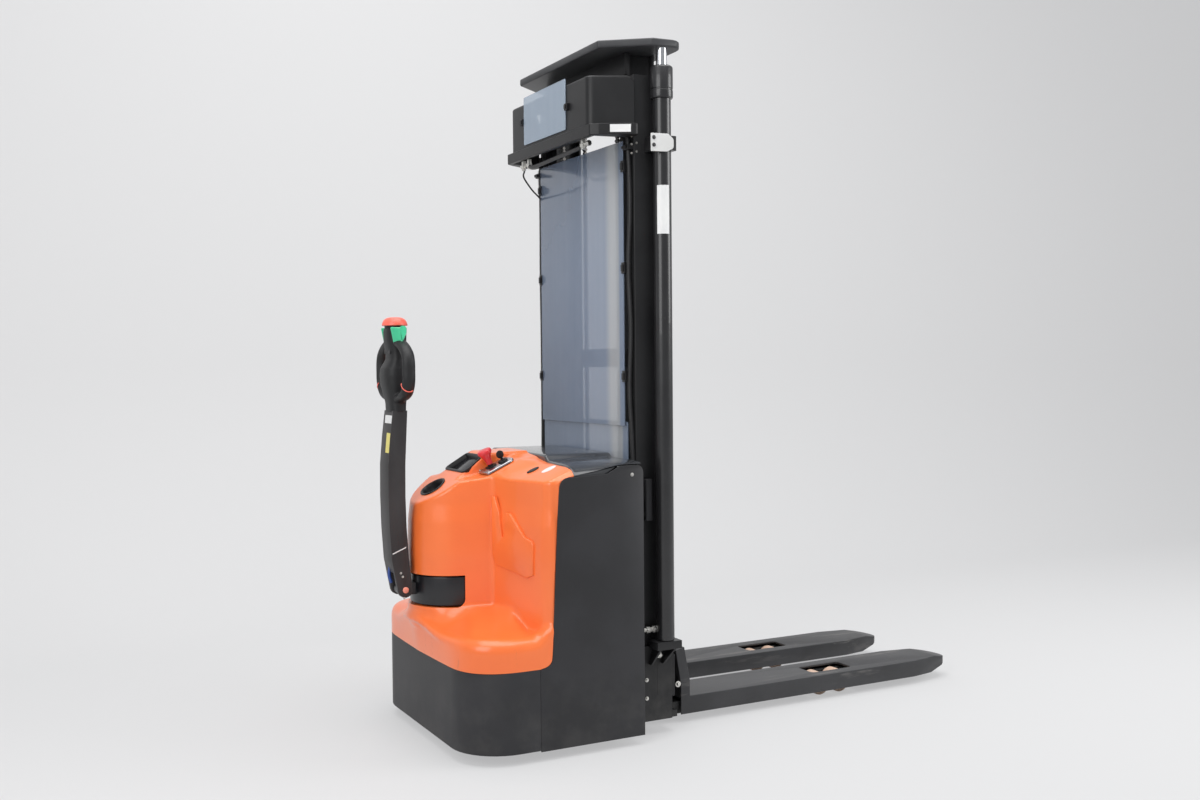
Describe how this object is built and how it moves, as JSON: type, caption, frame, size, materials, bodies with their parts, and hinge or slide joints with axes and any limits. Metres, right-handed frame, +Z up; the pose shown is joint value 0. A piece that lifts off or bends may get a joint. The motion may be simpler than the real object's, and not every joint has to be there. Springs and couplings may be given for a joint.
{
  "type": "walkie stacker",
  "caption": "Pedestrian-steered electric stacker with a bowed tiller, rounded power unit, two-stage mast with a clear guard, and overlapping forks on support legs.",
  "frame": {"origin": "on the floor, under the middle of the overall length and width, with the mast lowered and the tiller upright", "axes": "+Z up, +X from the operator towards the fork tips, +Y to the left"},
  "size_m": [2.1164, 0.85, 2.205],
  "materials": {
    "orange_cover": "satin moulded plastic",
    "dark_panel": "satin powder coat",
    "mast_paint": "satin powder coat",
    "fork_paint": "satin paint",
    "lid_plastic": "semi gloss",
    "bright_steel": "ground",
    "chain_steel": "oiled",
    "black_plastic": "fine grain",
    "tyre": "smooth tread",
    "load_roller": "cast polyurethane",
    "red_plastic": "satin",
    "green_plastic": "satin",
    "clear_guard": "clear sheet",
    "battery_case": "moulded",
    "cast_drive": "painted casting"
  },
  "bodies": {
    "chassis": {"base_frame": "dark_panel", "front_skirt": "dark_panel", "side_panel_right": "dark_panel", "side_panel_left": "dark_panel", "front_cover": "orange_cover", "battery": "battery_case", "power_unit": "cast_drive", "dash_panel": "black_plastic", "display": "lid_plastic", "support_leg_right": "mast_paint", "support_leg_left": "mast_paint", "mast_channel_right": "mast_paint", "mast_channel_left": "mast_paint", "mast_head": "mast_paint", "mast_foot": "mast_paint", "lift_cylinder_right": "mast_paint", "lift_cylinder_left": "mast_paint", "mast_shroud": "mast_paint", "guard_panel": "clear_guard", "lower_guard": "clear_guard"},
    "lifting_mast": {"inner_mast": "mast_paint", "top_plate": "mast_paint", "lift_rod_right": "bright_steel", "lift_rod_left": "bright_steel", "chain_hold_right": "chain_steel", "chain_hold_left": "chain_steel", "chain_lift_right": "chain_steel", "chain_lift_left": "chain_steel"},
    "fork_carriage": {"carriage": "mast_paint", "fork_right": "fork_paint", "fork_left": "fork_paint"},
    "steering_unit": {"drive_unit": "cast_drive", "tiller_base": "black_plastic"},
    "tiller": {"tiller_arm": "black_plastic", "tiller_head": "black_plastic"},
    "throttle": {"throttle": "green_plastic"},
    "belly_button": {"belly_button": "red_plastic"},
    "lift_button": {"lift_button": "black_plastic"},
    "lower_button": {"lower_button": "black_plastic"},
    "horn_button": {"horn_button": "black_plastic"},
    "estop_knob": {"estop_knob": "red_plastic"},
    "key": {"key": "black_plastic"},
    "battery_lid": {"battery_lid": "lid_plastic"},
    "drive_wheel": {"drive_wheel": "tyre"},
    "chain_pulley_right": {"chain_pulley_right": "chain_steel"},
    "mast_roller_right": {"mast_roller_right": "chain_steel"},
    "carriage_roller_right": {"carriage_roller_right": "chain_steel"},
    "caster_fork_right": {"caster_fork_right": "bright_steel"},
    "caster_wheel_right": {"caster_wheel_right": "tyre"},
    "bogie_right": {"bogie_right": "chain_steel"},
    "load_roller_rear_right": {"load_roller_rear_right": "load_roller"},
    "load_roller_tip_right": {"load_roller_tip_right": "load_roller"},
    "chain_pulley_left": {"chain_pulley_left": "chain_steel"},
    "mast_roller_left": {"mast_roller_left": "chain_steel"},
    "carriage_roller_left": {"carriage_roller_left": "chain_steel"},
    "caster_fork_left": {"caster_fork_left": "bright_steel"},
    "caster_wheel_left": {"caster_wheel_left": "tyre"},
    "bogie_left": {"bogie_left": "chain_steel"},
    "load_roller_rear_left": {"load_roller_rear_left": "load_roller"},
    "load_roller_tip_left": {"load_roller_tip_left": "load_roller"}
  },
  "joints": [
    {"name": "mast_lift", "type": "slide", "parent": "chassis", "child": "lifting_mast", "axis": [0, 0, 1], "range_m": [0, 1.4]},
    {"name": "carriage_lift", "type": "slide", "parent": "lifting_mast", "child": "fork_carriage", "axis": [0, 0, 1], "range_m": [0, 1.4], "deforming": ["chain_lift_right", "chain_lift_left"]},
    {"name": "steering", "type": "hinge", "parent": "chassis", "child": "steering_unit", "pos_m": [-0.83175, 0, 0.3], "axis": [0, 0, 1], "range_deg": [-60, 60]},
    {"name": "tiller_tilt", "type": "hinge", "parent": "steering_unit", "child": "tiller", "pos_m": [-1.00675, 0, 0.485], "axis": [0, -1, 0], "range_deg": [0, 80], "stiffness_Nm_per_rad": 22, "springref_deg": -22.92},
    {"name": "drive_spin", "type": "hinge", "parent": "steering_unit", "child": "drive_wheel", "pos_m": [-0.83175, 0, 0.098], "axis": [0, 1, 0], "continuous": true},
    {"name": "throttle_turn", "type": "hinge", "parent": "tiller", "child": "throttle", "pos_m": [-1.01675, 0, 1.284], "axis": [0, 1, 0], "range_deg": [-30, 30], "stiffness_Nm_per_rad": 0.6},
    {"name": "belly_press", "type": "slide", "parent": "tiller", "child": "belly_button", "axis": [0, 0, -1], "range_m": [0, 0.006], "stiffness_N_per_m": 900, "springref_m": -0.002},
    {"name": "lift_press", "type": "slide", "parent": "tiller", "child": "lift_button", "axis": [1, 0, 0], "range_m": [0, 0.003], "stiffness_N_per_m": 600, "springref_m": -0.001},
    {"name": "lower_press", "type": "slide", "parent": "tiller", "child": "lower_button", "axis": [1, 0, 0], "range_m": [0, 0.003], "stiffness_N_per_m": 600, "springref_m": -0.001},
    {"name": "horn_press", "type": "slide", "parent": "tiller", "child": "horn_button", "axis": [1, 0, 0], "range_m": [0, 0.003], "stiffness_N_per_m": 600, "springref_m": -0.001},
    {"name": "estop_press", "type": "slide", "parent": "chassis", "child": "estop_knob", "axis": [0.4226, 0, -0.9063], "range_m": [0, 0.005]},
    {"name": "key_turn", "type": "hinge", "parent": "chassis", "child": "key", "pos_m": [-0.70102, -0.118, 0.87963], "axis": [-0.4226, 0, 0.9063], "range_deg": [0, 90]},
    {"name": "lid_hinge", "type": "hinge", "parent": "chassis", "child": "battery_lid", "pos_m": [-0.36575, 0, 0.905], "axis": [0, 1, 0], "range_deg": [0, 80]},
    {"name": "pulley_spin_right", "type": "hinge", "parent": "lifting_mast", "child": "chain_pulley_right", "pos_m": [-0.27775, -0.2, 2.08], "axis": [0, -1, 0], "range_deg": [0, 2180]},
    {"name": "mast_roller_spin_right", "type": "hinge", "parent": "lifting_mast", "child": "mast_roller_right", "pos_m": [-0.28175, -0.313, 0.18], "axis": [0, -1, 0], "range_deg": [0, 1620]},
    {"name": "carriage_roller_spin_right", "type": "hinge", "parent": "fork_carriage", "child": "carriage_roller_right", "pos_m": [-0.28175, -0.244, 0.52], "axis": [0, 1, 0], "range_deg": [0, 2070]},
    {"name": "caster_swivel_right", "type": "hinge", "parent": "chassis", "child": "caster_fork_right", "pos_m": [-0.76175, -0.29, 0.285], "axis": [0, 0, 1], "continuous": true},
    {"name": "caster_spin_right", "type": "hinge", "parent": "caster_fork_right", "child": "caster_wheel_right", "pos_m": [-0.73375, -0.29, 0.075], "axis": [0, 1, 0], "continuous": true},
    {"name": "bogie_rock_right", "type": "hinge", "parent": "chassis", "child": "bogie_right", "pos_m": [0.51825, -0.195, 0.047], "axis": [0, 1, 0], "range_deg": [-5, 5]},
    {"name": "load_roller_spin_rear_right", "type": "hinge", "parent": "bogie_right", "child": "load_roller_rear_right", "pos_m": [0.47425, -0.195, 0.039], "axis": [0, 1, 0], "continuous": true},
    {"name": "load_roller_spin_tip_right", "type": "hinge", "parent": "bogie_right", "child": "load_roller_tip_right", "pos_m": [0.56225, -0.195, 0.039], "axis": [0, 1, 0], "continuous": true},
    {"name": "pulley_spin_left", "type": "hinge", "parent": "lifting_mast", "child": "chain_pulley_left", "pos_m": [-0.27775, 0.2, 2.08], "axis": [0, -1, 0], "range_deg": [0, 2180]},
    {"name": "mast_roller_spin_left", "type": "hinge", "parent": "lifting_mast", "child": "mast_roller_left", "pos_m": [-0.28175, 0.313, 0.18], "axis": [0, -1, 0], "range_deg": [0, 1620]},
    {"name": "carriage_roller_spin_left", "type": "hinge", "parent": "fork_carriage", "child": "carriage_roller_left", "pos_m": [-0.28175, 0.244, 0.52], "axis": [0, 1, 0], "range_deg": [0, 2070]},
    {"name": "caster_swivel_left", "type": "hinge", "parent": "chassis", "child": "caster_fork_left", "pos_m": [-0.76175, 0.29, 0.285], "axis": [0, 0, 1], "continuous": true},
    {"name": "caster_spin_left", "type": "hinge", "parent": "caster_fork_left", "child": "caster_wheel_left", "pos_m": [-0.73375, 0.29, 0.075], "axis": [0, 1, 0], "continuous": true},
    {"name": "bogie_rock_left", "type": "hinge", "parent": "chassis", "child": "bogie_left", "pos_m": [0.51825, 0.195, 0.047], "axis": [0, 1, 0], "range_deg": [-5, 5]},
    {"name": "load_roller_spin_rear_left", "type": "hinge", "parent": "bogie_left", "child": "load_roller_rear_left", "pos_m": [0.47425, 0.195, 0.039], "axis": [0, 1, 0], "continuous": true},
    {"name": "load_roller_spin_tip_left", "type": "hinge", "parent": "bogie_left", "child": "load_roller_tip_left", "pos_m": [0.56225, 0.195, 0.039], "axis": [0, 1, 0], "continuous": true}
  ],
  "couplings": [
    {"joint": "carriage_lift", "follows": "mast_lift", "ratio": 1},
    {"joint": "pulley_spin_right", "follows": "mast_lift", "rad_per_m": 27.027},
    {"joint": "mast_roller_spin_right", "follows": "mast_lift", "rad_per_m": 20},
    {"joint": "carriage_roller_spin_right", "follows": "mast_lift", "rad_per_m": 25.641},
    {"joint": "pulley_spin_left", "follows": "mast_lift", "rad_per_m": 27.027},
    {"joint": "mast_roller_spin_left", "follows": "mast_lift", "rad_per_m": 20},
    {"joint": "carriage_roller_spin_left", "follows": "mast_lift", "rad_per_m": 25.641}
  ]
}
